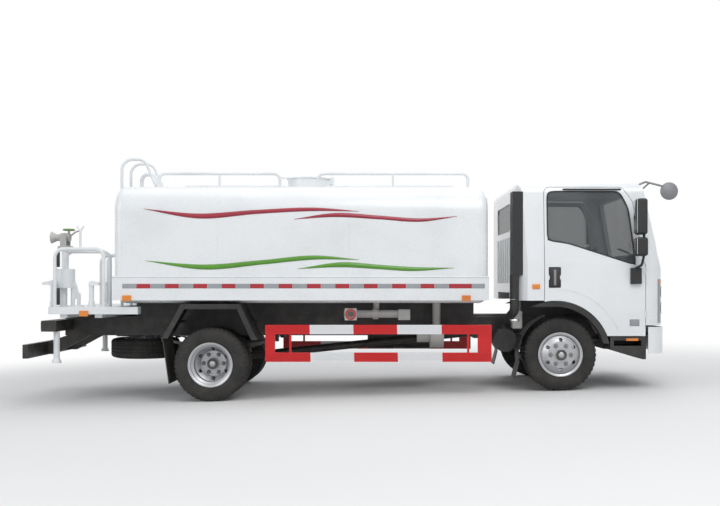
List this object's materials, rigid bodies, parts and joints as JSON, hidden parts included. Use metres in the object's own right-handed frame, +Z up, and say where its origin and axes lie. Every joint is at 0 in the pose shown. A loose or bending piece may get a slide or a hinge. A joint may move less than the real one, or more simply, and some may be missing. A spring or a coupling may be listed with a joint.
{
  "type": "water tanker truck",
  "caption": "Light cab-over water tanker truck with a round-cornered tank, side guards, and a rear platform carrying a water cannon and spray nozzles.",
  "frame": {"origin": "on the ground, at the middle of the overall length and width", "axes": "+X forward, +Y to the truck's left, +Z up"},
  "size_m": [7.2075, 2.49, 2.7378],
  "materials": {
    "white_paint": "gloss paint",
    "black_paint": "satin chassis paint",
    "red_paint": "gloss paint",
    "rim_paint": "silver paint",
    "steel": "bare steel",
    "cast": "painted casting",
    "tyre_rubber": "matt rubber",
    "window_glass": "clear",
    "black_plastic": "grained",
    "grey_plastic": "grained",
    "white_plastic": "moulded",
    "lamp_lens": "clear lens",
    "amber_lens": "amber lens",
    "seat_cloth": "woven"
  },
  "bodies": {
    "chassis": {"chassis_frame": "black_paint", "leaf_springs": "steel", "engine_block": "cast", "front_axle": "black_paint", "rear_axle": "black_paint", "drive_shaft": "black_paint", "spare_tyre": "tyre_rubber", "spare_rim": "rim_paint", "tank_shell": "white_paint", "tank_skirts": "white_paint", "tank_rails": "white_paint", "platform": "white_paint", "cannon_pedestal": "white_paint", "water_nozzles": "white_paint", "rear_beams": "black_paint", "rear_fenders": "black_paint", "side_guards": "red_paint", "water_pump": "cast", "fuel_tank": "black_paint", "air_cleaner": "black_plastic", "coolant_bottle": "white_plastic", "front_mudguards": "black_plastic", "bumper": "white_paint", "front_steps": "white_paint", "chassis_lamps": "amber_lens"},
    "steering_knuckle_left": {"knuckle_left": "black_paint"},
    "steering_knuckle_right": {"knuckle_right": "black_paint"},
    "steering_link": {"tie_rod": "black_paint"},
    "front_wheel_left": {"front_tyre_left": "tyre_rubber", "front_rim_left": "rim_paint"},
    "front_wheel_right": {"front_tyre_right": "tyre_rubber", "front_rim_right": "rim_paint"},
    "rear_wheels_left": {"rear_tyres_left": "tyre_rubber", "rear_rims_left": "rim_paint"},
    "rear_wheels_right": {"rear_tyres_right": "tyre_rubber", "rear_rims_right": "rim_paint"},
    "cab": {"cab_shell": "white_paint", "front_panel": "white_paint", "headlamps": "lamp_lens", "grille": "black_plastic", "cab_glass": "window_glass", "dashboard": "grey_plastic", "seats": "seat_cloth", "snorkel": "black_plastic", "arch_flares": "black_plastic", "front_mirror": "black_plastic"},
    "side_door_left": {"door_left": "white_paint", "door_glass_left": "window_glass", "mirrors_left": "black_plastic"},
    "side_door_right": {"door_right": "white_paint", "door_glass_right": "window_glass", "mirrors_right": "black_plastic"},
    "tank_lid": {"manhole_lid": "white_paint"},
    "cannon_turret": {"cannon_swivel": "cast"},
    "cannon_spout": {"cannon_barrel": "cast"}
  },
  "joints": [
    {"name": "steer_left", "type": "hinge", "parent": "chassis", "child": "steering_knuckle_left", "pos_m": [2.25163, 0.715, 0.3985], "axis": [0.0274, 0, 0.9996], "range_deg": [-38, 38]},
    {"name": "steer_right", "type": "hinge", "parent": "chassis", "child": "steering_knuckle_right", "pos_m": [2.25163, -0.715, 0.3985], "axis": [0.0274, 0, 0.9996], "range_deg": [-38, 38]},
    {"name": "steer_link", "type": "hinge", "parent": "steering_knuckle_left", "child": "steering_link", "pos_m": [2.10179, 0.715, 0.33358], "axis": [0.0274, 0, 0.9996], "range_deg": [-38, 38]},
    {"name": "front_left_spin", "type": "hinge", "parent": "steering_knuckle_left", "child": "front_wheel_left", "pos_m": [2.25163, 0.85, 0.3985], "axis": [0, 1, 0], "continuous": true},
    {"name": "front_right_spin", "type": "hinge", "parent": "steering_knuckle_right", "child": "front_wheel_right", "pos_m": [2.25163, -0.85, 0.3985], "axis": [0, 1, 0], "continuous": true},
    {"name": "rear_left_spin", "type": "hinge", "parent": "chassis", "child": "rear_wheels_left", "pos_m": [-1.56337, 0.825, 0.3985], "axis": [0, 1, 0], "continuous": true},
    {"name": "rear_right_spin", "type": "hinge", "parent": "chassis", "child": "rear_wheels_right", "pos_m": [-1.56337, -0.825, 0.3985], "axis": [0, 1, 0], "continuous": true},
    {"name": "cab_tilt", "type": "hinge", "parent": "chassis", "child": "cab", "pos_m": [3.24802, 0, 0.74831], "axis": [0, 1, 0], "range_deg": [0, 45]},
    {"name": "door_swing_left", "type": "hinge", "parent": "cab", "child": "side_door_left", "pos_m": [3.19181, 0.998, 1.06997], "axis": [-0.0274, 0, -0.9996], "range_deg": [0, 70]},
    {"name": "door_swing_right", "type": "hinge", "parent": "cab", "child": "side_door_right", "pos_m": [3.19181, -0.998, 1.06997], "axis": [0.0274, 0, 0.9996], "range_deg": [0, 70]},
    {"name": "lid_lift", "type": "hinge", "parent": "chassis", "child": "tank_lid", "pos_m": [-0.2234, 0, 2.49607], "axis": [0, 1, 0], "range_deg": [0, 110]},
    {"name": "cannon_turn", "type": "hinge", "parent": "chassis", "child": "cannon_turret", "pos_m": [-3.1721, -0.835, 1.74458], "axis": [0.0274, 0, 0.9996], "range_deg": [-160, 160]},
    {"name": "cannon_raise", "type": "hinge", "parent": "cannon_turret", "child": "cannon_spout", "pos_m": [-3.16963, -0.835, 1.83455], "axis": [0, 1, 0], "range_deg": [-10, 60]}
  ],
  "couplings": [
    {"joint": "steer_right", "follows": "steer_left", "ratio": 1},
    {"joint": "steer_link", "follows": "steer_left", "ratio": -1}
  ]
}
